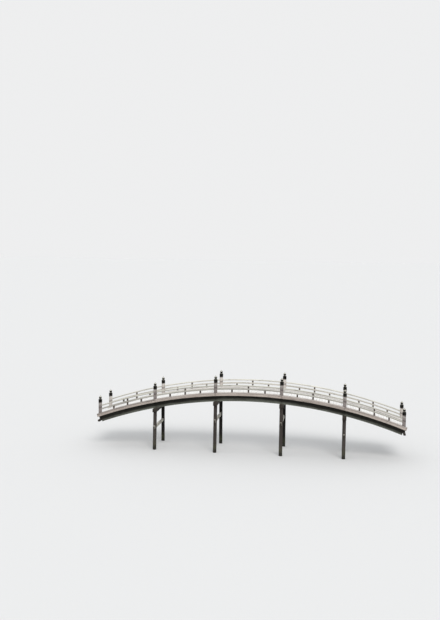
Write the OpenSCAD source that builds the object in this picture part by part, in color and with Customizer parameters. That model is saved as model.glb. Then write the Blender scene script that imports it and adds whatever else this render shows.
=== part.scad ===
// Arched timber garden bridge, a moon bridge of five bays on four pile bents.
// X runs along the bridge, Y across it and Z up. The origin is at midspan, on
// the centreline, at the level of the water that the piles stand in.
// Every long timber follows one arc, whose reference line is the lower edge of
// the fascia. A level is a distance from that line, square to it.

/* [Arch] */
// Length between the axes of the end newels
span_len = 22000; // [18000:100:27000]
// Rise of the arc from the end newels to midspan
arch_rise = 1953; // [1400:1:2400]
// Height of the lower edge of the fascia over the water at midspan
crown_height = 4235; // [3400:1:5200]
// Length of the middle bay
mid_bay = 4780; // [3900:10:5800]
// Length of the bays beside it
side_bay = 4470; // [3700:10:5400]
// Length of the timbers past the axes of the end newels
end_overhang = 200; // [170:5:260]

/* [Deck] */
// Distance across between the newel axes
post_spacing = 2760; // [2200:10:3400]
// Thickness of the deck planks
deck_thk = 60; // [40:1:80]
// Depth of the fascia that covers the plank ends
fascia_depth = 127; // [100:1:200]
// Thickness of the fascia
fascia_thk = 45; // [30:1:70]
// Height of the curb
curb_height = 103; // [80:1:160]
// Width of the curb
curb_width = 260; // [230:1:300]

/* [Girders] */
// Number of girders across each bay
girder_count = 4; // [3:1:5]
// Width of a girder
girder_width = 220; // [150:5:280]
// Depth of a girder below the lower edge of the fascia
girder_drop = 445; // [350:5:520]
// Depth that is left of the girder ends over the sills, below the same line
notch_drop = 200; // [150:5:340]
// Distance from the newel axis in to the axis of the outer girder
girder_inset = 250; // [180:5:400]

/* [Bents] */
// Diameter of a pile
pile_dia = 260; // [200:5:340]
// Distance from the newel axis in to the pile axis at the cap beam
pile_inset = 50; // [0:5:150]
// Outward lean of the piles
pile_batter = 2.5; // [0:0.1:5]
// Depth of a cap beam below the girders
cap_depth = 260; // [180:5:340]
// Width of a cap beam
cap_width = 290; // [220:5:340]
// Length of a cap beam past the pile axes
cap_overhang = 250; // [180:5:400]
// Depth of the middle of a tie beam below the lower edge of the fascia
tie_drop = 1830; // [1200:10:1900]
// Height of a tie beam
tie_height = 220; // [150:5:280]
// Width of a tie beam
tie_width = 110; // [80:5:140]
// Length of a tie beam past the pile faces
tie_overhang = 240; // [150:5:400]
// Height of the slot over a tie beam that a wedge fills
wedge_height = 36; // [20:1:60]
// Width of an abutment sill
sill_width = 160; // [120:5:260]
// Depth of an abutment sill at its middle
sill_depth = 150; // [120:5:300]
// Length of a sill past the newel axes
sill_overhang = 190; // [100:5:300]

/* [Railing] */
// Diameter of a newel post
post_dia = 250; // [180:1:280]
// Height of the wooden part of a newel over the lower edge of the fascia
post_height = 972; // [880:1:1200]
// How much taller the end newels are
end_post_rise = 60; // [0:5:200]
// Side of the square tenon under a newel
tenon_side = 100; // [60:1:130]
// Level of the lower face of the middle rail
mid_rail_level = 427; // [380:1:520]
// Height of the middle rail
mid_rail_height = 105; // [70:1:120]
// Width of the middle rail
mid_rail_width = 95; // [70:1:130]
// Level of the lower face of the top rail
top_rail_level = 672; // [630:1:780]
// Height of the top rail
top_rail_height = 95; // [80:1:130]
// Width of the top rail
top_rail_width = 120; // [90:1:150]
// Number of struts in each bay, the middle one the full height
strut_count = 3; // [1:2:7]
// Side of a strut along the bridge
strut_side = 110; // [60:1:140]
// Side of a strut across the bridge
strut_thk = 70; // [50:1:90]

/* [Newel caps] */
// Height of the sleeve round the newel top
sleeve_height = 215; // [140:1:260]
// Wall of the cast cap
cap_wall = 7; // [5:0.5:12]
// Radius of the bulb
bulb_radius = 100; // [80:1:120]
// Height of the tip over the middle of the bulb
bulb_tip = 170; // [120:1:230]
// Height of the neck between sleeve and bulb
neck_height = 70; // [24:1:90]

/* [Hidden] */

$fn = 96;

// Segments of the whole circle that the arc is part of
arc_fn = 256;

// Fits: timber on timber, a rail in its mortise, the joints between lengths, and
// how far a tenon stops short of the underside of the planking
seat_gap = 0.3;
mortise_gap = 0.5;
joint_gap = 2;
tenon_gap = 5;

// Sides of the bridge: the near side is -Y
near = -1;
far = 1;

// The arc of the lower edge of the fascia
arc_radius = (span_len * span_len / 4 + arch_rise * arch_rise) / (2 * arch_rise);
arc_centre_z = crown_height - arc_radius;

// Newels and bents along the bridge
bent_x = [-mid_bay / 2 - side_bay, -mid_bay / 2, mid_bay / 2, mid_bay / 2 + side_bay];
post_x = concat([-span_len / 2], bent_x, [span_len / 2]);
bay_count = len(post_x) - 1;
deck_end = span_len / 2 + end_overhang;

// Levels over the lower edge of the fascia
deck_level = fascia_depth;
plank_base = deck_level - deck_thk;
curb_level = deck_level + curb_height;
girder_top = plank_base - seat_gap;

// Places across the bridge
post_y = post_spacing / 2;
curb_lip = 15;
plank_end = post_y + curb_width / 2 - curb_lip;
girder_y = [
    for (i = [0 : girder_count - 1])
        (post_y - girder_inset) * (2 * i / (girder_count - 1) - 1)
];

// Outer ends of the girders, just short of the end of the planking and taken at
// the level of their undersides over the sills
girder_setback = 12;
girder_reach = (deck_end - girder_setback)
    * (arc_radius - notch_drop) / (arc_radius + deck_level);

// Sills, whose outer faces stand clear of the girder ends
sill_show = 60;
shoulder_gap = 10;
sill_x = girder_reach + sill_show - sill_width / 2;
sill_shoulder = sill_x - sill_width / 2 - shoulder_gap;

// Wedges: where their tips stop short of the pile axis, how far past the pile face
// they fill the slot, how far their heads stand out, and the tip's share of the height
wedge_tip_gap = 4;
wedge_tight = 15;
wedge_head = 50;
wedge_tip_share = 0.4;

// Newel caps: radius of the beads, how far they are sunk in the sleeve, the height
// of the middle one, and the tip's own radius
bead_radius = 9;
bead_sink = 3;
bead_share = 0.42;
tip_radius = 5;

// Neck of a cap, as shares of the bulb, and its ring, as shares of the neck
neck_radius = bulb_radius * 0.72;
bulb_seat = bulb_radius * 0.68;
neck_lap = bulb_radius * 0.2;
ring_level = neck_height * 0.45;
ring_radius = neck_height * 0.38;
ring_sink = 2;
bulb_level = sleeve_height + neck_height + bulb_seat;

tan_batter = tan(pile_batter);
pile_y = post_y - pile_inset;

// Height of a point of the arc at a level over it
function arc_z(x, level = 0) =
    arc_centre_z + sqrt(pow(arc_radius + level, 2) - x * x);

// Slope at x of the arc at a level, in degrees, positive where it falls towards +X
function arc_slope(x, level = 0) = asin(x / (arc_radius + level));

// Height of the flat seat that a timber of width w gives the arc at a level
function seat_z(x, level, w) =
    arc_z(x, level) - w * w / (8 * (arc_radius + level)) - seat_gap;

function cap_bottom(i) = arc_z(bent_x[i], -girder_drop) - cap_depth;
function tie_z(i) = arc_z(bent_x[i]) - tie_drop;

// Height of the foot of the sleeve on newel p
function is_end(p) = p == 0 || p == bay_count;
function sleeve_z(p) = arc_z(post_x[p]) + post_height + (is_end(p) ? end_post_rise : 0);

// Distance of a pile axis from the centreline at height z in bent i
function pile_axis_y(i, z) = pile_y + (cap_bottom(i) - z) * tan_batter;

// Start and end of bay k for timbers that butt over the bents
function bay_start(k) = k == 0 ? -deck_end : post_x[k] + joint_gap / 2;
function bay_end(k) = k == bay_count - 1 ? deck_end : post_x[k + 1] - joint_gap / 2;

// The same for the girders, which stop short of the ends of the planking
function girder_start(k) = k == 0 ? -girder_reach : bay_start(k);
function girder_end(k) = k == bay_count - 1 ? girder_reach : bay_end(k);

// Place of strut j in bay k
function strut_x(k, j) =
    post_x[k] + (post_x[k + 1] - post_x[k]) * (j + 1) / (strut_count + 1);
function is_tall(j) = j == (strut_count - 1) / 2;

// Segments of a sector: an even number, so that the middle bay has an edge at
// the crown. The $fn is for half a one less, as it is rounded up.
function sector_segments(angle) = 2 * max(1, floor(arc_fn * angle / 720));
function sector_fn(angle) = (sector_segments(angle) - 0.5) * 360 / angle;

// A 2D section swept along the arc from x0 to x1, which are taken at a level.
// The ends are cut square to the arc. In the section, X is the level and Y is
// the distance across towards the near side.
module arched(x0, x1, level) {
    a0 = arc_slope(x0, level);
    a1 = arc_slope(x1, level);
    translate([0, 0, arc_centre_z])
        rotate([90, 0, 0])
            rotate_extrude(start = 90 - a1, angle = a1 - a0, $fn = sector_fn(a1 - a0))
                translate([arc_radius, 0])
                    children();
}

// Rectangular section between two levels, centred at y with a width
module section(low, high, y, w) {
    translate([low, -y - w / 2])
        square([high - low, w]);
}

// Section of the top rail: flat below, rounded on top
module top_rail_section(y, grow = 0) {
    r = top_rail_width / 2 + grow;
    crown_cut = top_rail_height + grow;
    translate([top_rail_level - grow, -y])
        intersection() {
            translate([0, -r])
                square([crown_cut + grow, 2 * r]);
            translate([crown_cut + grow - r, 0])
                union() {
                    circle(r = r);
                    translate([-crown_cut - r, -r])
                        square([crown_cut + r, 2 * r]);
                }
        }
}

// Places its children at x on the arc, at a level, turned to the slope there
module on_arc(x, level = 0) {
    translate([x, 0, arc_z(x, level)])
        rotate([0, arc_slope(x, level), 0])
            children();
}

// Leaning log of a pile, cut level at the foot and under the cap beam
module pile_body(i, side) {
    intersection() {
        translate([bent_x[i], side * pile_axis_y(i, 0), 0])
            rotate([side * pile_batter, 0, 0])
                translate([0, 0, -pile_dia / 2])
                    cylinder(h = cap_bottom(i) + 2 * pile_dia, d = pile_dia);
        translate([bent_x[i] - pile_dia, -2 * post_spacing, 0])
            cube([2 * pile_dia, 4 * post_spacing, cap_bottom(i)]);
    }
}

// Round pile with a flat foot and a slot for the tie beam and its wedges
module pile(i, side) {
    color("dimgray")
        difference() {
            pile_body(i, side);
            translate([
                bent_x[i] - tie_width / 2 - mortise_gap,
                side * pile_axis_y(i, tie_z(i)) - pile_dia,
                tie_z(i) - tie_height / 2 - mortise_gap
            ])
                cube([
                    tie_width + 2 * mortise_gap,
                    2 * pile_dia,
                    tie_height + wedge_height + 2 * mortise_gap
                ]);
        }
}

// Beam across the heads of a pair of piles, its top cut to the slope
module cap_beam(i) {
    half = pile_y + cap_overhang;
    color("dimgray")
        difference() {
            translate([bent_x[i] - cap_width / 2, -half, cap_bottom(i)])
                cube([cap_width, 2 * half, cap_depth + girder_drop]);
            translate([bent_x[i], 0, seat_z(bent_x[i], -girder_drop, cap_width)])
                rotate([0, arc_slope(bent_x[i], -girder_drop), 0])
                    translate([-cap_width, -half - 1, 0])
                        cube([2 * cap_width, 2 * half + 2, 2 * girder_drop]);
        }
}

// Tie beam through a pair of piles
module tie_beam(i) {
    half = pile_axis_y(i, tie_z(i)) + pile_dia / 2 + tie_overhang;
    color("gray")
        translate([bent_x[i] - tie_width / 2, -half, tie_z(i) - tie_height / 2])
            cube([tie_width, 2 * half, tie_height]);
}

// Wedge driven over a tie beam from one face of a pile, thin end inside
module tie_wedge(i, side, face) {
    width = tie_width - 2 * mortise_gap;
    tight_y = pile_dia / 2 + wedge_tight;
    head_y = pile_dia / 2 + wedge_head;
    tight_z = wedge_height - seat_gap;
    tip_z = tight_z * wedge_tip_share;
    head_z = tip_z + (tight_z - tip_z) * (head_y - wedge_tip_gap) / (tight_y - wedge_tip_gap);
    translate([
        bent_x[i] - width / 2,
        side * pile_axis_y(i, tie_z(i)),
        tie_z(i) + tie_height / 2 + seat_gap
    ])
        rotate([90, 0, 90])
            linear_extrude(height = width)
                polygon([
                    [face * wedge_tip_gap, 0],
                    [face * head_y, 0],
                    [face * head_y, head_z],
                    [face * wedge_tip_gap, tip_z]
                ]);
}

module tie_wedges() {
    color("tan")
        for (i = [0 : len(bent_x) - 1], side = [near, far], face = [-1, 1])
            tie_wedge(i, side, face);
}

// Timber across the abutment under the girder ends, its top cut to the slope
module sill(end) {
    x = end * sill_x;
    half = post_y + sill_overhang;
    color("gray")
        difference() {
            translate([x - sill_width / 2, -half, arc_z(x, -notch_drop) - sill_depth])
                cube([sill_width, 2 * half, 2 * sill_depth]);
            translate([x, 0, seat_z(x, -notch_drop, sill_width)])
                rotate([0, arc_slope(x, -notch_drop), 0])
                    translate([-sill_width, -half - 1, 0])
                        cube([2 * sill_width, 2 * half + 2, 2 * sill_depth]);
        }
}

// The girders of one bay, thinner where they lie on a sill
module girders(k) {
    deep_start = max(girder_start(k), -sill_shoulder);
    deep_end = min(girder_end(k), sill_shoulder);
    color("dimgray")
        for (y = girder_y) {
            arched(deep_start, deep_end, -notch_drop)
                section(-girder_drop, girder_top, y, girder_width);
            if (deep_start > girder_start(k))
                arched(girder_start(k), deep_start + girder_width, -notch_drop)
                    section(-notch_drop, girder_top, y, girder_width);
            if (deep_end < girder_end(k))
                arched(deep_end - girder_width, girder_end(k), -notch_drop)
                    section(-notch_drop, girder_top, y, girder_width);
        }
}

// Square hole for the tenon of newel p
module tenon_hole(p, side) {
    s = tenon_side + 2 * mortise_gap;
    translate([post_x[p] - s / 2, side * post_y - s / 2, arc_z(post_x[p]) - deck_level])
        cube([s, s, 3 * deck_level + curb_height]);
}

// The planking of one bay
module deck(k) {
    color("tan")
        difference() {
            arched(bay_start(k), bay_end(k), deck_level)
                section(plank_base, deck_level, 0, 2 * plank_end);
            for (p = [k, k + 1], side = [near, far])
                tenon_hole(p, side);
        }
}

// Board over the plank ends, one length to each bay
module fascia(side) {
    color("rosybrown")
        for (k = [0 : bay_count - 1])
            arched(bay_start(k), bay_end(k), deck_level)
                section(0, deck_level, side * (plank_end + seat_gap + fascia_thk / 2), fascia_thk);
}

// Curb on the planking under the newels, one length to each bay
module curb(side) {
    color("rosybrown")
        for (k = [0 : bay_count - 1])
            difference() {
                arched(bay_start(k), bay_end(k), deck_level)
                    section(deck_level + seat_gap, curb_level, side * post_y, curb_width);
                for (p = [k, k + 1])
                    tenon_hole(p, side);
            }
}

// The lengths of a rail, meeting at the axes of the newels
module rail_lengths(level) {
    for (k = [0 : bay_count - 1])
        arched(post_x[k] + joint_gap / 2, post_x[k + 1] - joint_gap / 2, level)
            children();
}

// Middle rail, through the newels
module middle_rail(side) {
    color("silver")
        rail_lengths(mid_rail_level)
            section(mid_rail_level, mid_rail_level + mid_rail_height, side * post_y, mid_rail_width);
}

// Top rail, through the newels
module top_rail(side) {
    color("silver")
        rail_lengths(top_rail_level)
            top_rail_section(side * post_y);
}

// Plumb strut at x between two levels, its ends cut to the slope
module strut(x, side, low, high) {
    a = x - strut_side / 2;
    b = x + strut_side / 2;
    translate([0, side * post_y + strut_thk / 2, 0])
        rotate([90, 0, 0])
            linear_extrude(height = strut_thk)
                polygon([
                    [a, arc_z(a, low)], [b, arc_z(b, low)],
                    [b, arc_z(b, high)], [a, arc_z(a, high)]
                ]);
}

// Struts that stop under the middle rail
module short_struts(side) {
    color("gray")
        for (k = [0 : bay_count - 1], j = [0 : strut_count - 1])
            if (!is_tall(j))
                strut(strut_x(k, j), side, curb_level + seat_gap, mid_rail_level - seat_gap);
}

// Struts that go on over the middle rail to the top rail
module tall_struts(side) {
    color("gray")
        for (k = [0 : bay_count - 1], j = [0 : strut_count - 1])
            if (is_tall(j)) {
                strut(strut_x(k, j), side, curb_level + seat_gap, mid_rail_level - seat_gap);
                strut(strut_x(k, j), side, mid_rail_level + mid_rail_height + seat_gap,
                    top_rail_level - seat_gap);
            }
}

// Mortise through newel p for a rail at a level, blind in an end newel
module rail_mortise(p, level) {
    from = p == 0 ? 0 : -post_dia;
    to = p == bay_count ? 0 : post_dia;
    on_arc(post_x[p], level)
        translate([from, 0, -level])
            rotate([90, 0, 90])
                linear_extrude(height = to - from)
                    rotate(90)
                        children();
}

// Round newel post on the curb, with a tenon down through curb and planking
module newel(p, side) {
    x = post_x[p];
    z = arc_z(x);
    top = sleeve_z(p) + sleeve_height - cap_wall - seat_gap;
    difference() {
        union() {
            difference() {
                translate([x, side * post_y, z + deck_level])
                    cylinder(h = top - z - deck_level, d = post_dia);
                on_arc(x, curb_level + seat_gap)
                    translate([-post_dia, side * post_y - post_dia, -2 * curb_level])
                        cube([2 * post_dia, 2 * post_dia, 2 * curb_level]);
            }
            translate([x - tenon_side / 2, side * post_y - tenon_side / 2, z + plank_base + tenon_gap])
                cube([tenon_side, tenon_side, curb_level]);
        }
        rail_mortise(p, mid_rail_level)
            section(mid_rail_level - mortise_gap, mid_rail_level + mid_rail_height + mortise_gap,
                side * post_y, mid_rail_width + 2 * mortise_gap);
        rail_mortise(p, top_rail_level)
            top_rail_section(side * post_y, mortise_gap);
    }
}

module newels(side) {
    color("gray")
        for (p = [0 : bay_count])
            newel(p, side);
}

// Half outline of a newel cap: sleeve with beads, neck, bulb and drawn-out tip
module cap_outline() {
    r = post_dia / 2 + cap_wall + seat_gap;
    flare_r = (bulb_tip * bulb_tip + tip_radius * tip_radius - bulb_radius * bulb_radius)
        / (2 * (bulb_radius - tip_radius));
    square([r, sleeve_height]);
    for (z = [bead_radius, sleeve_height * bead_share, sleeve_height - bead_radius])
        translate([r - bead_sink, z])
            circle(r = bead_radius);
    translate([0, sleeve_height])
        square([neck_radius, neck_height + neck_lap]);
    translate([neck_radius - ring_sink, sleeve_height + ring_level])
        circle(r = ring_radius);
    translate([0, bulb_level])
        difference() {
            union() {
                circle(r = bulb_radius);
                polygon([[0, 0], [flare_r + tip_radius, bulb_tip], [0, bulb_tip]]);
            }
            translate([flare_r + tip_radius, bulb_tip])
                circle(r = flare_r);
        }
}

// Cast cap over the top of newel p, hollow from the sleeve to the bulb
module newel_cap(p, side) {
    neck_bore = neck_radius - cap_wall;
    translate([post_x[p], side * post_y, sleeve_z(p)])
        rotate_extrude()
            difference() {
                intersection() {
                    cap_outline();
                    square([post_dia, 2 * post_dia + sleeve_height]);
                }
                translate([-1, -1])
                    square([post_dia / 2 + seat_gap + 1, sleeve_height - cap_wall + 1]);
                translate([-1, 0])
                    square([neck_bore + 1, bulb_level]);
                translate([0, bulb_level])
                    circle(r = bulb_radius - cap_wall);
            }
}

module newel_caps(side) {
    color("darkslategray")
        for (p = [0 : bay_count])
            newel_cap(p, side);
}

pile(0, near);  // pile_1_near
pile(0, far);  // pile_1_far
pile(1, near);  // pile_2_near
pile(1, far);  // pile_2_far
pile(2, near);  // pile_3_near
pile(2, far);  // pile_3_far
pile(3, near);  // pile_4_near
pile(3, far);  // pile_4_far
cap_beam(0);  // cap_beam_1
cap_beam(1);  // cap_beam_2
cap_beam(2);  // cap_beam_3
cap_beam(3);  // cap_beam_4
tie_beam(0);  // tie_beam_1
tie_beam(1);  // tie_beam_2
tie_beam(2);  // tie_beam_3
tie_beam(3);  // tie_beam_4
tie_wedges();
sill(-1);  // sill_left
sill(1);  // sill_right
girders(0);  // girders_bay_1
girders(1);  // girders_bay_2
girders(2);  // girders_bay_3
girders(3);  // girders_bay_4
girders(4);  // girders_bay_5
deck(0);  // deck_bay_1
deck(1);  // deck_bay_2
deck(2);  // deck_bay_3
deck(3);  // deck_bay_4
deck(4);  // deck_bay_5
fascia(near);  // fascia_near
fascia(far);  // fascia_far
curb(near);  // curb_near
curb(far);  // curb_far
middle_rail(near);  // middle_rail_near
middle_rail(far);  // middle_rail_far
top_rail(near);  // top_rail_near
top_rail(far);  // top_rail_far
short_struts(near);  // short_struts_near
short_struts(far);  // short_struts_far
tall_struts(near);  // tall_struts_near
tall_struts(far);  // tall_struts_far
newels(near);  // newels_near
newels(far);  // newels_far
newel_caps(near);  // newel_caps_near
newel_caps(far);  // newel_caps_far
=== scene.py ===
import math

import bmesh
import bpy
import numpy as np
from mathutils import Matrix, Vector


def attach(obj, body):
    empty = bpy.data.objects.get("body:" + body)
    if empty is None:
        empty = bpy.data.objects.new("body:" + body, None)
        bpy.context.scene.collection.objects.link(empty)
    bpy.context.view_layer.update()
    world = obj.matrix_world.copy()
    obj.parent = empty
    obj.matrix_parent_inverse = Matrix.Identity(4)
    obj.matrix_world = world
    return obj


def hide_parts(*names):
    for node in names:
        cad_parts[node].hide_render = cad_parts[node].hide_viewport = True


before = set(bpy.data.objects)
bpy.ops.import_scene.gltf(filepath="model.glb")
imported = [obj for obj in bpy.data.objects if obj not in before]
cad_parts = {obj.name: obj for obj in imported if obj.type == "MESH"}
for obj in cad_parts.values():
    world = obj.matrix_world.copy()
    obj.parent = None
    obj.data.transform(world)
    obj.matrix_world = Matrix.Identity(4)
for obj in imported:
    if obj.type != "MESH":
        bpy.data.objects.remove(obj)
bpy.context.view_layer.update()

# Sizes of the CAD, in metres. A level is a height square to the arc, over its reference line.

SPAN, RISE, CROWN = 22.0, 1.953, 4.235
MID_BAY, SIDE_BAY, END_OVERHANG = 4.78, 4.47, 0.20
RADIUS = (SPAN * SPAN / 4 + RISE * RISE) / (2 * RISE)
CENTRE_Z = CROWN - RADIUS
BENT_X = [-MID_BAY / 2 - SIDE_BAY, -MID_BAY / 2, MID_BAY / 2, MID_BAY / 2 + SIDE_BAY]
POST_X = [-SPAN / 2, *BENT_X, SPAN / 2]
BAYS = len(POST_X) - 1
DECK_END = SPAN / 2 + END_OVERHANG
# Half the gap between lengths that butt, and the gap between pieces that seat
JOINT, SEAT = 0.001, 0.0003

DECK, PLANK_BASE, PLANK_END = 0.127, 0.067, 1.495
CURB_TOP, CURB_WIDTH, FASCIA = 0.230, 0.26, 0.045
GIRDER_WIDTH, GIRDER_LOW, NOTCH, GIRDER_OUT = 0.22, -0.445, -0.200, 1.13
GIRDER_Y = [-GIRDER_OUT, -GIRDER_OUT / 3, GIRDER_OUT / 3, GIRDER_OUT]
GIRDER_SETBACK, SILL_SHOW, SHOULDER_GAP = 0.012, 0.060, 0.010
GIRDER_REACH = (DECK_END - GIRDER_SETBACK) * (RADIUS + NOTCH) / (RADIUS + DECK)
SILL_WIDTH, SILL_DEPTH, SILL_HALF = 0.16, 0.15, 1.57
SILL_X = GIRDER_REACH + SILL_SHOW - SILL_WIDTH / 2
SHOULDER = SILL_X - SILL_WIDTH / 2 - SHOULDER_GAP
PILE_R, PILE_Y, BATTER = 0.13, 1.33, math.tan(math.radians(2.5))
CAP_WIDTH, CAP_DEPTH, CAP_HALF = 0.29, 0.26, 1.58
TIE_DROP, TIE_WIDTH, TIE_HEIGHT, TIE_OVERHANG = 1.83, 0.11, 0.22, 0.24
POST_R, POST_Y, POST_HEIGHT, END_POST_RISE = 0.125, 1.38, 0.972, 0.060
SLEEVE, CAP_WALL = 0.215, 0.007
MID_LOW, MID_HEIGHT, MID_WIDTH = 0.427, 0.105, 0.095
TOP_LOW, TOP_HEIGHT, TOP_WIDTH = 0.672, 0.095, 0.12

# Sizes of the detail that only this script has, in metres

GIRDER_EDGE, BEAM_EDGE, TIE_EDGE, BOARD_EDGE, CURB_EDGE = 0.008, 0.009, 0.007, 0.006, 0.014
RAIL_EDGE, TOP_RAIL_EDGE, STRUT_EDGE, WEDGE_EDGE = 0.012, 0.006, 0.006, 0.004
END_ROUND, PLANK_END_ROUND, TIE_END_ROUND, BEAM_END_ROUND = 0.004, 0.003, 0.006, 0.008
# A point on the rounding of an end: how far along and how far in it is, as shares of the rounding
PART_ALONG, PART_IN = 0.3, 0.29
# How far sawn faces wander, and how far a log's outline and an edge's wear do as shares of their size
FACE_DRIFT, PLANK_DRIFT, LOG_DRIFT, EDGE_WEAR = 0.0012, 0.0008, 0.006, 0.35
# A drying check's least half width, then in radians how far it wanders round the log and how near
# to it the log has no other points
CHECK_SHUT, CHECK_DRIFT, CHECK_CLEAR = 0.0003, 0.035, 0.1
PLANK_PITCH, PLANK_GAP, PLANK_EDGE, PLANK_UNDER_EDGE = 0.205, 0.007, 0.006, 0.002
# What varies from plank to plank: the width, the height, the cup and the length
PLANK_ODD, PLANK_DROP, PLANK_CUP, PLANK_SHORT = 0.0015, 0.0025, (-0.0018, 0.0015), 0.004
# The radius and height of the nail heads, how deep they are driven, and their places
DECK_NAIL, FASCIA_NAIL, SLEEVE_NAIL = (0.0075, 0.0025), (0.008, 0.003), (0.006, 0.003)
DECK_NAIL_SINK, FASCIA_NAIL_SINK, SLEEVE_NAIL_SINK = 0.0015, 0.001, 0.0005
DECK_NAIL_SHARE, FASCIA_NAIL_PITCH, FASCIA_NAIL_LEVELS = 0.25, 0.41, (0.032, 0.096)
SLEEVE_NAIL_UP = 0.055
# How far nails are astray: across and along a plank, along the fascia, and in radians on a sleeve
DECK_NAIL_ASTRAY, DECK_NAIL_ALONG, FASCIA_NAIL_ASTRAY, SLEEVE_NAIL_TURN = 0.004, 0.012, 0.01, 0.06
# The points on a rounded corner and round a log
CORNER_POINTS, LOG_POINTS = 4, 44
SIDES = ((-1, "near"), (1, "far"))

# Where the stains and the painted light and shade are, in metres: distances from the centreline,
# levels, and distances from the axis of a newel. The dark of the ends fades over END_STAIN, and a
# stain's edge over twice SOFT_EDGE.

PILE_SHADE_INSIDE, CURB_LIGHT_INSIDE, TRODDEN_HALF, TRODDEN_FADE = 1.475, 1.29, 0.85, 0.25
# Levels of the painted shadow under the deck's overhang on the girders, and of the darker band between the
# rails on the newels
OVERHANG_SHADOW_LEVELS, WAIST_LEVELS = (-0.38, -0.18), (0.55, 0.66)
PALE_LEVELS, SLEEVE_LEVELS = (0.80, 0.90), (0.93, 1.1)
BULB_EDGE, END_STAIN, SOFT_EDGE = (0.120, 0.112), 0.04, 0.02


def arc_z(x, level=0.0):
    return CENTRE_Z + math.sqrt((RADIUS + level) ** 2 - x * x)


def arc_s(x, level=0.0):
    """The length along the reference line of the point at x and a level."""
    return RADIUS * math.asin(x / (RADIUS + level))


def along_arc(s, level, y):
    t = s / RADIUS
    return np.stack([(RADIUS + level) * math.sin(t), y, CENTRE_Z + (RADIUS + level) * math.cos(t)], -1)


def bay_length(k, level=DECK, reach=DECK_END):
    """Where the timbers of bay k start and end along the reference line."""
    start = -reach if k == 0 else POST_X[k] + JOINT
    end = reach if k == BAYS - 1 else POST_X[k + 1] - JOINT
    return arc_s(start, level), arc_s(end, level)


def rail_length(k, level):
    """Where the rails of bay k start and end, from newel axis to newel axis."""
    return arc_s(POST_X[k] + JOINT, level), arc_s(POST_X[k + 1] - JOINT, level)


# Mesh building

class Wobble:
    """A smooth random wave between about -1 and 1."""

    def __init__(self, rng, longest):
        self.freq = 2 * math.pi / longest * np.array([1.0, 1.9, 3.7, 6.1])
        self.size = np.array([0.5, 0.28, 0.15, 0.07])
        self.phase = rng.uniform(0, 2 * math.pi, 4)

    def __call__(self, s):
        return float(np.sum(self.size * np.sin(self.freq * s + self.phase)))


class Kit:
    """Collects solids into one mesh. Each vertex keeps its place along and across the grain, its
    timber's own tone and how near it is to an end."""

    def __init__(self, name, seed):
        self.name = name
        self.rng = np.random.RandomState(seed)
        self.verts, self.faces, self.grain, self.tone, self.end = [], [], [], [], []
        self.count = 0

    def rings(self, rings, grain, end, tone=None):
        """Skins closed rings of m points each, and closes both ends."""
        rings, grain, end = np.asarray(rings), np.asarray(grain), np.asarray(end)
        n, m = rings.shape[:2]
        tone = self.rng.uniform() if tone is None else tone
        self.verts.append(rings.reshape(-1, 3))
        self.grain.append((grain + self.rng.uniform(0, 40, 3)).reshape(-1, 3))
        self.end.append(end.reshape(-1))
        self.tone.append(np.full(n * m, tone))
        i, j = np.meshgrid(np.arange(n - 1), np.arange(m), indexing="ij")
        a = self.count + i * m + j
        b = self.count + i * m + (j + 1) % m
        self.faces.extend(np.stack([a, b, b + m, a + m], -1).reshape(-1, 4).tolist())
        self.faces.append([self.count + j for j in range(m - 1, -1, -1)])
        self.faces.append([self.count + (n - 1) * m + j for j in range(m)])
        self.count += n * m

    def make(self, material, replaces=(), smooth=35):
        mesh = bpy.data.meshes.new(self.name)
        mesh.from_pydata(np.concatenate(self.verts).tolist(), [], self.faces)
        for name, kind, field, data in (
            ("grain", "FLOAT_VECTOR", "vector", self.grain),
            ("tone", "FLOAT", "value", self.tone),
            ("end", "FLOAT", "value", self.end),
        ):
            layer = mesh.attributes.new(name, kind, "POINT")
            layer.data.foreach_set(field, np.concatenate(data).astype(np.float32).ravel())
        bm = bmesh.new()
        bm.from_mesh(mesh)
        bmesh.ops.recalc_face_normals(bm, faces=bm.faces)
        bm.to_mesh(mesh)
        bm.free()
        mesh.polygons.foreach_set("use_smooth", [True] * len(mesh.polygons))
        mesh.set_sharp_from_angle(angle=math.radians(smooth))
        mesh.materials.append(material)
        obj = bpy.data.objects.new(self.name, mesh)
        bpy.context.scene.collection.objects.link(obj)
        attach(obj, "root")
        if replaces:
            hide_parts(*replaces)


def rounded(points, radius):
    """A convex outline with its corners rounded by a radius, one number or one for each corner."""
    pts = np.array(points, float)
    out = []
    for i, (q, r) in enumerate(zip(pts, np.broadcast_to(radius, len(pts)))):
        before, after = pts[i - 1], pts[(i + 1) % len(pts)]
        a = q + (before - q) / np.linalg.norm(before - q) * r
        b = q + (after - q) / np.linalg.norm(after - q) * r
        for t in np.linspace(0, 1, CORNER_POINTS):
            out.append((1 - t) ** 2 * a + 2 * t * (1 - t) * q + t * t * b)
    return np.array(out)


def stations(first, last, count, edge, stops=()):
    """Places along a timber, and how far its outline is drawn in at each to round the ends."""
    inner = np.linspace(first + edge, last - edge, count + 1)
    inner = np.sort(np.concatenate([inner, [p for p in stops if first + edge < p < last - edge]]))
    part = PART_ALONG * edge
    places = np.concatenate([[first, first + part], inner, [last - part, last]])
    inset = np.zeros(len(places))
    inset[[0, -1]] = edge
    inset[[1, -2]] = PART_IN * edge
    return places, inset


def nearness(s, first, last):
    """1 at the ends of a timber, and falling away from them."""
    return math.exp(-min(s - first, last - s) / END_STAIN)


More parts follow.
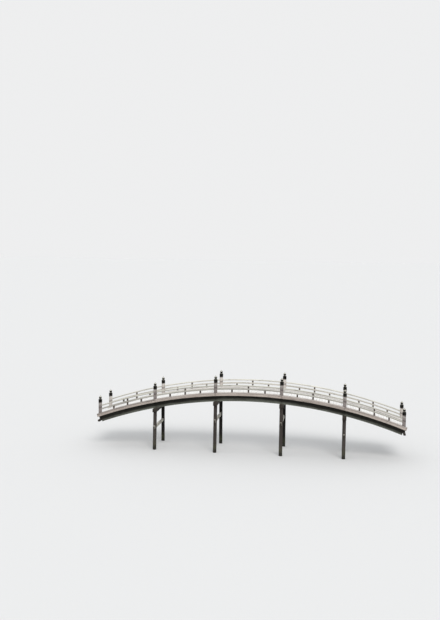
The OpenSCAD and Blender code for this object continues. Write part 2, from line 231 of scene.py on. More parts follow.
def sweep(kit, place, s0, s1, outline, step, end_round=END_ROUND, stops=()):
    """A timber from s0 to s1: outline(s) is its cross-section and place() puts it in space."""
    count = max(2, int(round((s1 - s0 - 2 * end_round) / step)))
    rings, grain, end = [], [], []
    for s, cut in zip(*stations(s0, s1, count, end_round, stops)):
        ring = outline(s)
        if cut:
            middle = (ring.max(0) + ring.min(0)) / 2
            half = (ring.max(0) - ring.min(0)) / 2
            ring = middle + (ring - middle) * (1 - cut / half)
        rings.append(place(s, ring[:, 0], ring[:, 1]))
        grain.append(np.stack([np.full(len(ring), s), ring[:, 0], ring[:, 1]], -1))
        end.append(np.full(len(ring), nearness(s, s0, s1)))
    kit.rings(rings, grain, end)


def bar(kit, ends, low, high, y, width, edge, stops=()):
    """A squared timber along the arc, with worn edges and faces that wander a little. low is a
    level, or gives the level at s."""
    wave_a, wave_b, wear = Wobble(kit.rng, 2.3), Wobble(kit.rng, 1.7), Wobble(kit.rng, 0.9)
    w = width / 2

    def outline(s):
        r = edge * (1 + EDGE_WEAR * wear(s))
        bottom = low(s) if callable(low) else low
        top = high + FACE_DRIFT * (wave_a(s) - 1)
        ring = rounded([(bottom, -w), (bottom, w), (top, w), (top, -w)], [0.5 * r, 0.5 * r, r, r])
        ring[:, 1] += y + FACE_DRIFT * wave_b(s)
        return ring

    sweep(kit, along_arc, *ends, outline, step=0.12, stops=stops)


def cross_beam(kit, x0, z0, half, corners, edge, step, end_round):
    """A squared timber across the bridge. Its corners are in X and Z, from x0 and z0."""
    wave_a, wave_b, wear = Wobble(kit.rng, 1.9), Wobble(kit.rng, 1.4), Wobble(kit.rng, 0.8)

    def place(y, a, b):
        return np.stack([x0 + a, np.full(len(a), y), z0 + b], -1)

    def outline(y):
        ring = rounded(corners, edge * (1 + EDGE_WEAR * wear(y)))
        return ring + FACE_DRIFT * np.array([wave_a(y), -abs(wave_b(y))])

    sweep(kit, place, -half, half, outline, step, end_round)


def turn_between(a, b):
    """The lesser turn between two angles."""
    return abs((a - b + math.pi) % (2 * math.pi) - math.pi)


def drying_check(rng, i, count, low, height):
    """The i-th of the long cracks down a log. It is open in the middle of its length."""
    return {
        "angle": 2 * math.pi * (i + rng.uniform(0.15, 0.85)) / count,
        "mid": low + height * rng.uniform(0.2, 0.8),
        "reach": height * rng.uniform(0.25, 0.6),
        "half": rng.uniform(0.0016, 0.0032),
        "depth": rng.uniform(0.014, 0.03),
        "drift": Wobble(rng, 1.3),
    }


def log(kit, place, z0, z1, radius, checks, step):
    """A round timber with drying checks in it. place(z, x, y) puts a ring in space."""
    tone = kit.rng.uniform()
    cracks = [drying_check(kit.rng, i, checks, z0, z1 - z0) for i in range(checks)]
    # Each crack has three points of its own round the log, in place of those near it
    plain = [(a, None, 0) for a in np.linspace(0, 2 * math.pi, LOG_POINTS, endpoint=False)
             if all(turn_between(a, c["angle"]) > CHECK_CLEAR for c in cracks)]
    lips = [(c["angle"], c, k) for c in cracks for k in (-1, 0, 1)]
    order = sorted(plain + lips, key=lambda point: (point[0], point[2]))
    waves = [Wobble(kit.rng, 1.5) for _ in range(4)]
    count = max(3, int(round((z1 - z0) / step)))
    rings, grain, end = [], [], []
    for z, inset in zip(*stations(z0, z1, count, END_ROUND)):
        w = [wave(z) for wave in waves]
        xy = []
        for angle, crack, k in order:
            wander = (w[0] * math.cos(2 * angle) + w[1] * math.sin(2 * angle)
                      + 0.6 * w[2] * math.cos(3 * angle) + 0.4 * w[3])
            r = radius * (1 - LOG_DRIFT + LOG_DRIFT * wander)
            if crack:
                open_by = max(0.0, 1 - ((z - crack["mid"]) / crack["reach"]) ** 2) ** 0.5
                half = CHECK_SHUT + crack["half"] * open_by
                angle += CHECK_DRIFT * crack["drift"](z) + k * half / radius
                r -= crack["depth"] * open_by * (k == 0)
            r -= inset
            xy.append((r * math.cos(angle), r * math.sin(angle)))
        xy = np.array(xy)
        rings.append(place(z, xy[:, 0], xy[:, 1]))
        grain.append(np.concatenate([np.full((len(xy), 1), z), xy], 1))
        end.append(np.full(len(xy), nearness(z, z0, z1)))
    kit.rings(rings, grain, end, tone)


def stud(kit, centre, normal, radius, height, sides=8):
    """A low domed nail head."""
    n = Vector(normal).normalized()
    u = n.orthogonal().normalized()
    v = n.cross(u)
    turn = [u * math.cos(a) + v * math.sin(a) for a in np.linspace(0, 2 * math.pi, sides, endpoint=False)]
    rings = []
    for r, h in ((1.0, -0.3), (1.0, 0.35), (0.75, 0.8), (0.25, 1.0)):
        middle = Vector(centre) + n * (h * height)
        rings.append([tuple(middle + out * (r * radius)) for out in turn])
    rings = np.array(rings)
    kit.rings(rings, rings - np.array(centre), np.zeros(rings.shape[:2]))


# Materials

def rgb(r, g, b):
    """Linear colour from 0..255 sRGB."""
    return tuple((c / 255 / 12.92) if c <= 10 else ((c / 255 + 0.055) / 1.055) ** 2.4 for c in (r, g, b))


def darker(colour, share):
    return tuple(share * c for c in colour)


class Shader:
    """A node material round one Principled shader."""

    def __init__(self, name, **sockets):
        self.mat = bpy.data.materials.new(name)
        self.mat.use_nodes = True
        self.tree = self.mat.node_tree
        self.tree.nodes.clear()
        out = self.add("ShaderNodeOutputMaterial")
        self.bsdf = self.add("ShaderNodeBsdfPrincipled")
        self.link(self.bsdf.outputs[0], out.inputs[0])
        for key, value in sockets.items():
            self.bsdf.inputs[key.replace("_", " ")].default_value = value

    def add(self, kind, **settings):
        node = self.tree.nodes.new(kind)
        for key, value in settings.items():
            setattr(node, key, value)
        return node

    def link(self, a, b):
        self.tree.links.new(a, b)

    def feed(self, socket, value):
        if isinstance(value, bpy.types.NodeSocket):
            self.link(value, socket)
        elif isinstance(value, (tuple, list)) and len(value) == 3 and socket.type == "RGBA":
            socket.default_value = (*value, 1)
        else:
            socket.default_value = value

    def surface(self, colour, rough, normal):
        """Gives the shader its look, and returns the material."""
        for socket, value in (("Base Color", colour), ("Roughness", rough), ("Normal", normal)):
            self.link(value, self.bsdf.inputs[socket])
        return self.mat

    def object_place(self):
        return self.add("ShaderNodeTexCoord").outputs["Object"]

    def attribute(self, name, output="Fac"):
        return self.add("ShaderNodeAttribute", attribute_name=name).outputs[output]

    def scaled(self, vector, scale):
        node = self.add("ShaderNodeVectorMath", operation="MULTIPLY")
        self.feed(node.inputs[0], vector)
        node.inputs[1].default_value = scale
        return node.outputs[0]

    def noise(self, vector, scale, detail=3.0, rough=0.55, bend=0.0):
        node = self.add("ShaderNodeTexNoise")
        self.feed(node.inputs["Vector"], self.scaled(vector, scale))
        node.inputs["Scale"].default_value = 1.0
        node.inputs["Detail"].default_value = detail
        node.inputs["Roughness"].default_value = rough
        node.inputs["Distortion"].default_value = bend
        return node.outputs["Fac"]

    def cells(self, vector, scale):
        node = self.add("ShaderNodeTexVoronoi", feature="DISTANCE_TO_EDGE")
        self.feed(node.inputs["Vector"], self.scaled(vector, scale))
        node.inputs["Scale"].default_value = 1.0
        return node.outputs["Distance"]

    def fit(self, value, a, b, c=0.0, d=1.0):
        """Maps a..b to c..d, kept inside."""
        node = self.add("ShaderNodeMapRange")
        self.feed(node.inputs[0], value)
        for i, v in enumerate((a, b, c, d)):
            node.inputs[i + 1].default_value = v
        return node.outputs[0]

    def math(self, operation, a, b=0.0):
        node = self.add("ShaderNodeMath", operation=operation)
        self.feed(node.inputs[0], a)
        self.feed(node.inputs[1], b)
        return node.outputs[0]

    def times(self, a, b):
        return self.math("MULTIPLY", a, b)

    def less(self, a, b):
        return self.math("SUBTRACT", a, b)

    def blend(self, a, share, b):
        """A share of a, and the rest of b."""
        return self.math("ADD", self.times(a, share), self.times(b, 1 - share))

    def hypotenuse(self, a, b):
        return self.math("SQRT", self.math("ADD", self.times(a, a), self.times(b, b)))

    def mix(self, fac, a, b, blend="MIX"):
        node = self.add("ShaderNodeMix", data_type="RGBA", blend_type=blend)
        self.feed(node.inputs[0], fac)
        self.feed(node.inputs[6], a)
        self.feed(node.inputs[7], b)
        return node.outputs[2]

    def grey(self, value):
        """A number from 0 to 1 as a colour from black to white."""
        node = self.add("ShaderNodeValToRGB")
        self.feed(node.inputs[0], value)
        return node.outputs[0]

    def bump(self, height, distance, normal=None):
        node = self.add("ShaderNodeBump")
        node.inputs["Strength"].default_value = 1.0
        node.inputs["Distance"].default_value = distance
        self.feed(node.inputs["Height"], height)
        if normal is not None:
            self.link(normal, node.inputs["Normal"])
        return node.outputs[0]

    def split(self, vector):
        node = self.add("ShaderNodeSeparateXYZ")
        self.link(vector, node.inputs[0])
        return node.outputs

    def up(self):
        """How far the surface faces up, from -1 to 1."""
        return self.split(self.add("ShaderNodeNewGeometry").outputs["Normal"])[2]

    def crease(self, distance):
        """1 in the open and less where other surfaces are near."""
        node = self.add("ShaderNodeAmbientOcclusion", samples=6)
        node.inputs["Distance"].default_value = distance
        return node.outputs["AO"]

    def level(self, place):
        """The level of a point over the reference line."""
        x, _, z = self.split(place)
        return self.less(self.hypotenuse(x, self.less(z, CENTRE_Z)), RADIUS)

    def off_centre(self, place, axis):
        """The distance from the middle along an axis."""
        return self.math("ABSOLUTE", self.split(place)[axis])

    def off_post(self, place):
        """The distance from the axis of the nearest newel."""
        x, y = self.off_centre(place, 0), self.off_centre(place, 1)
        along = self.math("ABSOLUTE", self.less(x, POST_X[-1]))
        for post in POST_X[3:-1]:
            along = self.math("MINIMUM", along, self.math("ABSOLUTE", self.less(x, post)))
        return self.hypotenuse(along, self.less(y, POST_Y))


class Wood(Shader):
    """Weathered timber. The grain follows the grain attribute, or an axis of the frame where the
    mesh is the CAD's and has no attributes. Stains, and the painted light and shade, go on in the
    order that they are asked for."""

    def __init__(self, name, dark, light, bleached, bleach=0.6, spread=0.22, checked=0.75,
                 end_grain=0.35, cut=None, axis=None):
        super().__init__(name, Specular_IOR_Level=0.25)
        self.dark = dark
        self.place = self.object_place()
        self.grain = self.along_axis(axis) if axis else self.attribute("grain", "Vector")
        self.streak = self.noise(self.grain, (0.5, 11, 11), 5, 0.62, 0.5)
        self.blotch = self.noise(self.place, (0.9, 0.9, 0.9), 4, 0.6)
        self.figure = self.blend(self.streak, 0.62, self.noise(self.grain, (3.5, 170, 170), 2, 0.5))
        self.rough = self.fit(self.figure, 0.3, 0.7, 0.92, 0.72)
        self.colour = self.mix(self.fit(self.figure, 0.32, 0.68), dark, light)
        # The silver of sun and rain, most on what faces up
        patchy = self.fit(self.blend(self.blotch, 0.6, self.streak), 0.3, 0.62, 0.35, 1.0)
        self.stain_and_shade(bleached, self.times(self.fit(self.up(), -0.25, 0.85), patchy), bleach)
        if not axis:
            # Each timber's own tone
            tone = self.fit(self.attribute("tone"), 0.0, 1.0, 1 - spread, 1.0)
            self.colour = self.mix(1.0, self.colour, self.grey(tone), "MULTIPLY")
        # Open grain lines and small checks
        lines = self.fit(self.cells(self.grain, (0.9, 26, 26)), 0.0, 0.05)
        broken = self.fit(self.noise(self.grain, (1.1, 5, 5), 2), 0.5, 0.58)
        self.checks = self.times(self.less(1.0, lines), broken)
        self.stain_and_shade(darker(dark, 0.25), self.checks, checked)
        if not axis:
            self.stain_and_shade(cut or darker(dark, 0.45), self.attribute("end"), end_grain)

    def along_axis(self, axis):
        """The place in the frame, with an axis of it first."""
        parts = self.split(self.place)
        join = self.add("ShaderNodeCombineXYZ")
        for i, j in enumerate({"y": (1, 0, 2), "z": (2, 0, 1)}[axis]):
            self.link(parts[j], join.inputs[i])
        return join.outputs[0]

    def stain_and_shade(self, colour, where, amount):
        self.colour = self.mix(self.times(where, amount), self.colour, colour)

    def ragged(self, distance, scale, by):
        """A distance or level made uneven by so much either way."""
        return self.math("ADD", distance, self.fit(self.noise(self.place, scale, 3), 0.3, 0.7, -by, by))

    def overhang_shadow(self, levels, amount, colour):
        """Painted shadow under the deck's overhang: dark up under the deck, from nothing at the first
        level to the full amount at the second. Away from midspan both are lower."""
        level = self.ragged(self.level(self.place), (1.3, 1.3, 9), 0.04)
        level = self.math("ADD", level, self.fit(self.off_centre(self.place, 0), 2.0, 3.6, 0.0, 0.07))
        self.colour = self.mix(self.fit(level, *levels, 0.0, amount), self.colour, colour)

    def trodden(self, half, colour):
        """Duller outside the half width that feet keep pale, most near the ends of the bridge."""
        uneven = self.fit(self.blotch, 0.3, 0.7, -0.12, 0.12)
        aside = self.math("ADD", self.off_centre(self.place, 1), uneven)
        ends = self.fit(self.off_centre(self.place, 0), 6.5, 8.5, 0.5, 1.0)
        self.stain_and_shade(colour, self.fit(aside, half, half + TRODDEN_FADE), ends)

    def inside(self, limit, colour, lean=0.0):
        """Painted light and shade on the sides that face in: another colour within a distance from the
        centreline, less by lean for each metre up.
        """
        rise = self.times(self.split(self.place)[2], lean)
        aside = self.math("ADD", self.off_centre(self.place, 1), rise)
        within = self.fit(aside, limit + SOFT_EDGE, limit - SOFT_EDGE)
        self.stain_and_shade(colour, within, self.fit(self.streak, 0.3, 0.6, 0.6, 0.9))

    def band(self, levels, amount, colour):
        """Another colour between two levels."""
        low, high = levels
        level = self.ragged(self.level(self.place), (9, 9, 2.5), 0.025)
        over = self.fit(level, low - SOFT_EDGE, low + SOFT_EDGE)
        under = self.fit(level, high + SOFT_EDGE, high - SOFT_EDGE)
        self.stain_and_shade(colour, self.times(over, under), amount)

    def crease_shade(self, amount=0.55):
        """Painted shade: dark in the corners, where other surfaces are near."""
        open_air = self.fit(self.crease(0.12), 0.30, 0.90)
        self.stain_and_shade(darker(self.dark, 0.3), self.less(1.0, open_air), amount)

    def lichen(self, amount):
        """Pale green spots in patches, on what faces up or out."""
        spots = self.fit(self.noise(self.place, (14, 14, 14), 5, 0.7), 0.60, 0.68)
        patch = self.fit(self.noise(self.place, (1.7, 1.7, 1.7), 3), 0.45, 0.6)
        where = self.times(self.times(spots, patch), self.fit(self.up(), -0.3, 0.4))
        self.stain_and_shade(rgb(187, 196, 160), where, amount)

    def wet(self):
        """Soaked at the water line, which is at z = 0, with algae over it."""
        uneven = self.fit(self.noise(self.place, (5, 5, 2), 3), 0.3, 0.7, 0.0, 0.16)
        height = self.less(self.split(self.place)[2], uneven)
        soaked = self.fit(height, 0.10, 0.34, 1.0, 0.0)
        self.stain_and_shade(rgb(41, 41, 32), soaked, 0.85)
        algae = self.times(self.fit(height, 0.12, 0.30, 0.0, 1.0), self.fit(height, 0.30, 0.75, 1.0, 0.0))
        self.stain_and_shade(rgb(90, 94, 66), algae, 0.35)
        self.rough = self.times(self.rough, self.fit(soaked, 0.0, 1.0, 1.0, 0.55))

    def finished(self):
        ridges = self.bump(self.figure, 0.004)
        return self.surface(self.colour, self.rough, self.bump(self.less(1.0, self.checks), 0.006, ridges))


def pile_wood():
    m = Wood("pile_wood", rgb(50, 43, 41), rgb(90, 83, 79), rgb(120, 113, 109), bleach=0.3)
    # Painted shade on the sides of the piles that face in, under the deck
    m.inside(PILE_SHADE_INSIDE, rgb(17, 16, 15), lean=BATTER)
    m.crease_shade()
    m.wet()
    return m.finished()


def beam_wood():
    m = Wood("beam_wood", rgb(45, 40, 35), rgb(84, 76, 70), rgb(124, 118, 109), bleach=0.5)
    m.crease_shade()
    return m.finished()


def tie_wood():
    m = Wood("tie_wood", rgb(196, 187, 175), rgb(245, 240, 226), rgb(248, 245, 236), bleach=0.9,
             end_grain=1.0, cut=rgb(66, 60, 55))
    m.crease_shade()
    return m.finished()


def wedge_wood():
    m = Wood("wedge_wood", rgb(71, 63, 55), rgb(113, 104, 94), rgb(145, 139, 128), axis="y")
    m.crease_shade()
    return m.finished()


def girder_wood():
    m = Wood("girder_wood", rgb(90, 89, 81), rgb(151, 154, 143), rgb(162, 164, 155), bleach=0.4)
    # Painted shadow of the deck's overhang, dark on the upper part of the girders
    m.overhang_shadow(OVERHANG_SHADOW_LEVELS, 0.91, rgb(27, 23, 19))
    m.crease_shade()
    return m.finished()


def deck_wood():
    m = Wood("deck_wood", rgb(238, 235, 232), rgb(249, 247, 246), rgb(252, 251, 250), bleach=0.85,
             spread=0.07, checked=0.45)
    m.trodden(TRODDEN_HALF, rgb(192, 190, 189))
    m.crease_shade(0.3)
    return m.finished()


def fascia_wood():
    m = Wood("fascia_wood", rgb(168, 153, 145), rgb(219, 206, 197), rgb(234, 226, 218))
    m.crease_shade(0.35)
    return m.finished()


def curb_wood():
    m = Wood("curb_wood", rgb(148, 135, 130), rgb(200, 188, 182), rgb(232, 227, 221), bleach=0.75)
    # Painted light on the side of the curb that faces in, as thrown up by the pale deck
    m.inside(CURB_LIGHT_INSIDE, rgb(241, 238, 234))
    m.crease_shade(0.25)
    m.lichen(0.3)
    return m.finished()


def rail_wood():
    m = Wood("rail_wood", rgb(160, 154, 148), rgb(212, 207, 199), rgb(247, 247, 234), bleach=0.85)
    m.crease_shade()
    m.lichen(0.5)
    return m.finished()


def strut_wood():
    m = Wood("strut_wood", rgb(63, 55, 51), rgb(105, 94, 88), rgb(139, 130, 122), bleach=0.4, axis="z")
    m.crease_shade()
    return m.finished()


def newel_wood():
    """Darker between the rails, pale above them, and stained dark under the cap, with painted light on the
    sides that face in.
    """
    m = Wood("newel_wood", rgb(120, 110, 109), rgb(175, 164, 161), rgb(209, 202, 197), spread=0.2)
    # Painted light on the sides of the newels that face in, as thrown up by the pale deck
    m.inside(POST_Y, rgb(205, 198, 192))
    m.band(WAIST_LEVELS, 0.5, rgb(75, 68, 66))
    m.band(PALE_LEVELS, 0.25, rgb(241, 237, 228))
    m.band(SLEEVE_LEVELS, 0.55, rgb(52, 50, 48))
    m.crease_shade(0.35)
    return m.finished()


def cap_metal():
    """Old cast bronze: near black, with a painted highlight of the sky on the crown of the bulb and
    painted shade in its creases.
    """
    m = Shader("cap_metal", Metallic=0.8, Specular_IOR_Level=0.2, Specular_Tint=(0.3, 0.3, 0.28, 1))
    place = m.object_place()
    cloud = m.noise(place, (9, 9, 9), 5, 0.6)
    fine = m.noise(place, (70, 70, 70), 3, 0.6)
    run = m.noise(place, (26, 26, 3.5), 4, 0.6)
    colour = m.mix(m.fit(cloud, 0.35, 0.65), rgb(15, 15, 14), rgb(33, 31, 29))
    colour = m.mix(m.fit(run, 0.52, 0.66, 0.0, 0.3), colour, rgb(44, 52, 46))
    # The beads of the sleeve reach further out than the bulb, and get less of the painted highlight
    within_bulb = m.fit(m.off_post(place), *BULB_EDGE, 0.3, 1.0)
    crown_highlight = m.times(m.fit(m.up(), 0.25, 0.60), within_bulb)
    crown_highlight = m.times(crown_highlight, m.fit(fine, 0.3, 0.6, 0.85, 1.0))
    colour = m.mix(crown_highlight, colour, rgb(198, 196, 184))
    # Painted shade in the creases of the cap
    colour = m.mix(m.fit(m.crease(0.03), 0.9, 0.45, 0.0, 0.7), colour, rgb(10, 10, 9))
    rough = m.fit(m.blend(cloud, 0.6, fine), 0.3, 0.7, 0.5, 0.28)
    return m.surface(colour, rough, m.bump(m.math("ADD", m.times(fine, 0.4), cloud), 0.0012))


def nail_iron():
    m = Shader("nail_iron", Metallic=0.35, Specular_IOR_Level=0.4)
    rust = m.noise(m.object_place(), (130, 130, 130), 4, 0.65)
    colour = m.mix(m.fit(rust, 0.35, 0.65), rgb(54, 48, 43), rgb(111, 77, 56))
    return m.surface(colour, m.fit(rust, 0.3, 0.7, 0.6, 0.85), m.bump(rust, 0.0008))


# The bridge, from the water up

def pile_head(bent):
    return arc_z(bent, GIRDER_LOW) - CAP_DEPTH


def pile_axis(bent, z):
    """How far a pile's axis is from the centreline at a height."""
    return PILE_Y + (pile_head(bent) - z) * BATTER


def piles(material):
    for i, bent in enumerate(BENT_X):
        for side, word in SIDES:
            kit = Kit(f"log_{i + 1}_{word}", 100 + 10 * i + side)

            def place(z, x, y, bent=bent, side=side):
                return np.stack([bent + x, side * pile_axis(bent, z) + y, np.full(len(x), z)], -1)

            log(kit, place, 0.0, pile_head(bent), PILE_R, checks=5, step=0.07)
            kit.make(material, [f"pile_{i + 1}_{word}"])


def tie_beams(material):
    w, h = TIE_WIDTH / 2, TIE_HEIGHT / 2
    corners = [(-w, -h), (w, -h), (w, h), (-w, h)]
    for i, bent in enumerate(BENT_X):
        z = arc_z(bent) - TIE_DROP
        kit = Kit(f"tie_{i + 1}", 200 + i)
        half = pile_axis(bent, z) + PILE_R + TIE_OVERHANG - SEAT
        cross_beam(kit, bent, z, half, corners, TIE_EDGE, step=0.1, end_round=TIE_END_ROUND)
        kit.make(material, [f"tie_beam_{i + 1}"])


def bearing_beam(kit, x, level, width, depth, half):
    """A beam under the girders. Its top follows the slope of their underside, which is at a level."""
    w, bottom = width / 2, arc_z(x, level) - depth
    top = arc_z(x, level) - width ** 2 / (8 * (RADIUS + level)) - SEAT
    slope = math.tan(math.asin(x / (RADIUS + level)))
    corners = [(-w, bottom), (w, bottom), (w, top - w * slope), (-w, top + w * slope)]
    cross_beam(kit, x, 0, half, corners, BEAM_EDGE, step=0.12, end_round=BEAM_END_ROUND)


def cap_beams(material):
    for i, bent in enumerate(BENT_X):
        kit = Kit(f"bent_cap_{i + 1}", 220 + i)
        bearing_beam(kit, bent, GIRDER_LOW, CAP_WIDTH, CAP_DEPTH, CAP_HALF)
        kit.make(material, [f"cap_beam_{i + 1}"])


def sills(material):
    for side, word in ((-1, "left"), (1, "right")):
        kit = Kit(f"bearing_{word}", 240 + side)
        bearing_beam(kit, side * SILL_X, NOTCH, SILL_WIDTH, SILL_DEPTH, SILL_HALF)
        kit.make(material, [f"sill_{word}"])


def girders(material):
    """Four to a bay, and thinner at the ends of the bridge, where they lie on the sills."""
    shoulder_s = arc_s(SHOULDER, NOTCH)
    # Places just before and after each shoulder, so that its face is upright
    hair = 0.0005
    stops = [side * shoulder_s + d for side in (-1, 1) for d in (-hair, hair)]

    def low(s):
        return NOTCH if abs(s) > shoulder_s else GIRDER_LOW

    for k in range(BAYS):
        kit = Kit(f"girder_set_{k + 1}", 260 + k)
        ends = bay_length(k, NOTCH, GIRDER_REACH)
        for y in GIRDER_Y:
            bar(kit, ends, low, PLANK_BASE - SEAT, y, GIRDER_WIDTH, GIRDER_EDGE, stops)
        kit.make(material, [f"girders_bay_{k + 1}"])


def plank_section(half):
    """A plank's outline, with points across its top so that it can cup."""
    corners = [(PLANK_BASE, -half), (PLANK_BASE, half), (DECK, half), (DECK, -half)]
    edges = rounded(corners, [PLANK_UNDER_EDGE, PLANK_UNDER_EDGE, PLANK_EDGE, PLANK_EDGE])
    across_top = np.array([(DECK, x) for x in np.linspace(half, -half, 7)[1:-1]])
    return np.concatenate([edges[:-CORNER_POINTS], across_top, edges[-CORNER_POINTS:]])


def plank(kit, nails, s, pitch):
    """A plank with its middle at s along the arc, and two nails in it over each girder."""
    width = (pitch - PLANK_GAP) * (RADIUS + DECK) / RADIUS + kit.rng.uniform(-PLANK_ODD, PLANK_ODD)
    t = s / RADIUS
    up, on = np.array([math.sin(t), 0, math.cos(t)]), np.array([math.cos(t), 0, -math.sin(t)])
    base = np.array([0, 0, CENTRE_Z]) + RADIUS * up
    drop = kit.rng.uniform(0, PLANK_DROP)
    cup = kit.rng.uniform(*PLANK_CUP)
    wave = Wobble(kit.rng, 2.2)
    short = kit.rng.uniform(0, PLANK_SHORT, 2)
    section = plank_section(width / 2)
    top = section[:, 0] > (PLANK_BASE + DECK) / 2

    def place(y, a, b):
        return base + a[:, None] * up + b[:, None] * on + np.array([0, y, 0])

    def outline(y):
        ring = section.copy()
        ring[top, 0] -= drop + abs(cup) + PLANK_DRIFT * (1 + wave(y))
        ring[top, 0] += cup * (1 - 2 * (ring[top, 1] / (width / 2)) ** 2)
        return ring

    first, last = -PLANK_END + short[0], PLANK_END - short[1]
    sweep(kit, place, first, last, outline, step=0.13, end_round=PLANK_END_ROUND)
    for y in GIRDER_Y:
        for off in (-DECK_NAIL_SHARE, DECK_NAIL_SHARE):
            spot = base + (DECK - drop - DECK_NAIL_SINK) * up + off * width * on
            spot = spot + np.array([0, y + kit.rng.uniform(-DECK_NAIL_ALONG, DECK_NAIL_ALONG), 0])
            spot = spot + kit.rng.uniform(-DECK_NAIL_ASTRAY, DECK_NAIL_ASTRAY) * on
            stud(nails, spot, up, *DECK_NAIL)


def deck(material, iron):
    nails = Kit("deck_nails", 300)
    for k in range(BAYS):
        s0, s1 = bay_length(k)
        count = int(round((s1 - s0) / PLANK_PITCH))
        pitch = (s1 - s0) / count
        kit = Kit(f"planks_bay_{k + 1}", 310 + k)
        for n in range(count):
            plank(kit, nails, s0 + (n + 0.5) * pitch, pitch)
        kit.make(material, [f"deck_bay_{k + 1}"])
    nails.make(iron, smooth=50)


def fascia(side, word, material, iron):
    boards = Kit(f"fascia_boards_{word}", 400 + side)
    heads = Kit(f"fascia_nails_{word}", 410 + side)
    back = PLANK_END + SEAT
    nail_y = side * (back + FASCIA - FASCIA_NAIL_SINK)
    for k in range(BAYS):
        s0, s1 = bay_length(k)
        bar(boards, (s0, s1), 0.0, DECK, side * (back + FASCIA / 2), FASCIA, BOARD_EDGE)
        count = int(round((s1 - s0) / FASCIA_NAIL_PITCH))
        for n in range(count):
            s = s0 + (n + 0.5) * (s1 - s0) / count
            for level in FASCIA_NAIL_LEVELS:
                astray = heads.rng.uniform(-FASCIA_NAIL_ASTRAY, FASCIA_NAIL_ASTRAY)
                spot = along_arc(s + astray, level, nail_y)
                stud(heads, spot, (0, side, 0), *FASCIA_NAIL)
    boards.make(material, [f"fascia_{word}"])
    heads.make(iron, smooth=50)


def curb(side, word, material):
    kit = Kit(f"curb_timbers_{word}", 420 + side)
    for k in range(BAYS):
        bar(kit, bay_length(k), DECK + SEAT, CURB_TOP, side * POST_Y, CURB_WIDTH, CURB_EDGE)
    kit.make(material, [f"curb_{word}"])


def middle_rail(side, word, material):
    kit = Kit(f"middle_rails_{word}", 430 + side)
    for k in range(BAYS):
        ends = rail_length(k, MID_LOW)
        bar(kit, ends, MID_LOW, MID_LOW + MID_HEIGHT, side * POST_Y, MID_WIDTH, RAIL_EDGE)
    kit.make(material, [f"middle_rail_{word}"])


def top_rail_section():
    """Flat below and half round above."""
    r = TOP_WIDTH / 2
    spring = TOP_LOW + (TOP_HEIGHT - r)
    half_round = [(spring + r * math.sin(q), r * math.cos(q)) for q in np.linspace(0, math.pi, 17)]
    edges = rounded([(TOP_LOW, -r), (TOP_LOW, r), (spring, r), (spring, -r)], TOP_RAIL_EDGE)
    return np.concatenate([edges[:2 * CORNER_POINTS], np.array(half_round)])


def top_rail(side, word, material):
    kit = Kit(f"top_rails_{word}", 440 + side)
    section = top_rail_section()
    for k in range(BAYS):
        wave_a, wave_b = Wobble(kit.rng, 2.1), Wobble(kit.rng, 1.6)

        def outline(s, wave_a=wave_a, wave_b=wave_b):
            ring = section.copy()
            ring[:, 0] = TOP_LOW + (ring[:, 0] - TOP_LOW) * (0.99 + 0.01 * wave_a(s))
            ring[:, 1] += side * POST_Y + FACE_DRIFT * wave_b(s)
            return ring

        sweep(kit, along_arc, *rail_length(k, TOP_LOW), outline, step=0.1)
    kit.make(material, [f"top_rail_{word}"])


def newels(side, word, material, iron):
    """Plumb posts with their feet cut to the slope of the curb, and nails round the cap sleeves."""
    kit = Kit(f"newel_posts_{word}", 450 + side)
    pins = Kit(f"sleeve_nails_{word}", 460 + side)
    for x in POST_X:
        foot = arc_z(x, CURB_TOP) + SEAT
        slope = math.tan(math.asin(x / (RADIUS + CURB_TOP)))
        rise = END_POST_RISE if abs(x) > BENT_X[-1] else 0
        head = arc_z(x) + POST_HEIGHT + rise + SLEEVE - CAP_WALL - SEAT

        def place(z, px, py, x=x, foot=foot, slope=slope, head=head):
            near_foot = (head - z) / (head - foot)
            return np.stack([x + px, side * POST_Y + py, z - slope * px * near_foot], -1)

        log(kit, place, foot, head, POST_R, checks=4, step=0.09)
        for quarter in range(4):
            q = math.pi * (0.25 + 0.5 * quarter) + pins.rng.uniform(-SLEEVE_NAIL_TURN, SLEEVE_NAIL_TURN)
            out = np.array([math.cos(q), math.sin(q), 0])
            spot = np.array([x, side * POST_Y, head - SLEEVE + CAP_WALL + SLEEVE_NAIL_UP])
            stud(pins, spot + out * (POST_R + CAP_WALL - SLEEVE_NAIL_SINK), out, *SLEEVE_NAIL)
    kit.make(material, [f"newels_{word}"])
    pins.make(iron, smooth=50)


def dress(node, material, bevel=0.0, smooth=35):
    """Gives a CAD node its material, and softens its edges."""
    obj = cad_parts[node]
    obj.data.materials.clear()
    obj.data.materials.append(material)
    for poly in obj.data.polygons:
        poly.material_index = 0
        poly.use_smooth = True
    obj.data.set_sharp_from_angle(angle=math.radians(smooth))
    if bevel:
        edge = obj.modifiers.new("edges", "BEVEL")
        edge.width = bevel
        edge.segments = 2
        edge.limit_method = "ANGLE"
        edge.angle_limit = math.radians(40)


def bridge():
    iron, beams = nail_iron(), beam_wood()
    piles(pile_wood())
    tie_beams(tie_wood())
    cap_beams(beams)
    sills(beams)
    girders(girder_wood())
    deck(deck_wood(), iron)
    boards, curbs, rails, posts = fascia_wood(), curb_wood(), rail_wood(), newel_wood()
    for side, word in SIDES:
        fascia(side, word, boards, iron)
        curb(side, word, curbs)
        middle_rail(side, word, rails)
        top_rail(side, word, rails)
        newels(side, word, posts, iron)
    struts, caps = strut_wood(), cap_metal()
    dress("tie_wedges", wedge_wood(), WEDGE_EDGE)
    for _, word in SIDES:
        dress(f"short_struts_{word}", struts, STRUT_EDGE)
        dress(f"tall_struts_{word}", struts, STRUT_EDGE)
        dress(f"newel_caps_{word}", caps, smooth=40)


# Floor, light and camera

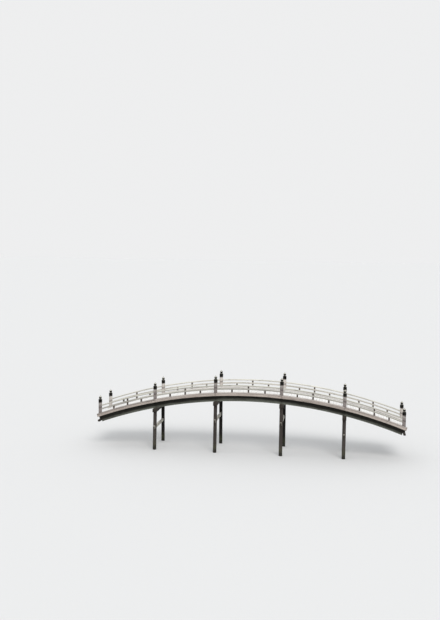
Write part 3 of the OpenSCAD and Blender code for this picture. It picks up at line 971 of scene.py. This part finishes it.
# The floor is pale to the eye, and throws up as little light as water does
FLOOR_SEEN, FLOOR_BOUNCE, BACKDROP = (0.778, 0.777, 0.781), (0.20, 0.22, 0.21), (0.855, 0.858, 0.862)
FLOOR_HALF, FLOOR_Z = 900, -0.002
SKY, SKY_LIGHT = (0.97, 0.99, 1.0), 0.80
SUN, SUN_LIGHT, SUN_ANGLE, SUN_FROM = (1.0, 0.985, 0.96), 1.39, 30, (0.25, -0.65, 0.7)
# The camera that was fitted to the photo: its place in metres, its turn in degrees, and its focal
# length and the photo's height in pixels
CAMERA_AT, YAW, PITCH, ROLL = (6.74, -60.45, 14.87), 8.56, 4.31, 0.80
FOCAL_PIXELS, PHOTO_HEIGHT, SENSOR = 835.2, 620, 36


def background_ray(tree):
    """1 for a ray that shows the background: from the camera, off a gloss or through glass."""
    path = tree.nodes.new("ShaderNodeLightPath")
    found = path.outputs["Is Camera Ray"]
    for kind in ("Is Glossy Ray", "Is Transmission Ray"):
        node = tree.nodes.new("ShaderNodeMath")
        node.operation = "MAXIMUM"
        tree.links.new(found, node.inputs[0])
        tree.links.new(path.outputs[kind], node.inputs[1])
        found = node.outputs[0]
    return found


def floor():
    corners = [(x * FLOOR_HALF, y * FLOOR_HALF, FLOOR_Z) for x, y in ((-1, -1), (1, -1), (1, 1), (-1, 1))]
    mesh = bpy.data.meshes.new("floor")
    mesh.from_pydata(corners, [], [(0, 1, 2, 3)])
    m = Shader("floor", Roughness=0.95, Specular_IOR_Level=0.1)
    m.link(m.mix(background_ray(m.tree), FLOOR_BOUNCE, FLOOR_SEEN), m.bsdf.inputs["Base Color"])
    mesh.materials.append(m.mat)
    obj = bpy.data.objects.new("floor", mesh)
    bpy.context.scene.collection.objects.link(obj)


def background(tree, colour, strength):
    node = tree.nodes.new("ShaderNodeBackground")
    node.inputs[0].default_value = (*colour, 1)
    node.inputs[1].default_value = strength
    return node.outputs[0]


def sky():
    """An even light on the bridge, and the backdrop that is seen."""
    world = bpy.data.worlds.new("studio")
    bpy.context.scene.world = world
    world.use_nodes = True
    tree = world.node_tree
    tree.nodes.clear()
    output = tree.nodes.new("ShaderNodeOutputWorld")
    blend = tree.nodes.new("ShaderNodeMixShader")
    tree.links.new(background_ray(tree), blend.inputs[0])
    tree.links.new(background(tree, SKY, SKY_LIGHT), blend.inputs[1])
    tree.links.new(background(tree, BACKDROP, 1.0), blend.inputs[2])
    tree.links.new(blend.outputs[0], output.inputs[0])


def sun():
    light = bpy.data.lights.new("key", "SUN")
    light.energy = SUN_LIGHT
    light.angle = math.radians(SUN_ANGLE)
    light.color = SUN
    obj = bpy.data.objects.new("key", light)
    obj.rotation_euler = Vector(SUN_FROM).to_track_quat("Z", "Y").to_euler()
    bpy.context.scene.collection.objects.link(obj)


def camera():
    data = bpy.data.cameras.new("camera")
    data.lens = FOCAL_PIXELS * SENSOR / PHOTO_HEIGHT
    data.sensor_width = SENSOR
    data.clip_start, data.clip_end = 1, 2000
    yaw, pitch, roll = (math.radians(d) for d in (YAW, PITCH, ROLL))
    right = Vector((math.cos(yaw), math.sin(yaw), 0))
    ahead = Vector((-math.sin(yaw), math.cos(yaw), 0))
    look = ahead * math.cos(pitch) - Vector((0, 0, math.sin(pitch)))
    above = ahead * math.sin(pitch) + Vector((0, 0, math.cos(pitch)))
    x_axis = right * math.cos(roll) + above * math.sin(roll)
    y_axis = above * math.cos(roll) - right * math.sin(roll)
    turn = Matrix((x_axis, y_axis, -look)).transposed()
    obj = bpy.data.objects.new("camera", data)
    obj.matrix_world = Matrix.Translation(CAMERA_AT) @ turn.to_4x4()
    bpy.context.scene.collection.objects.link(obj)
    bpy.context.scene.camera = obj


bridge()
floor()
sky()
sun()
camera()

bpy.context.scene.view_settings.view_transform = "Standard"
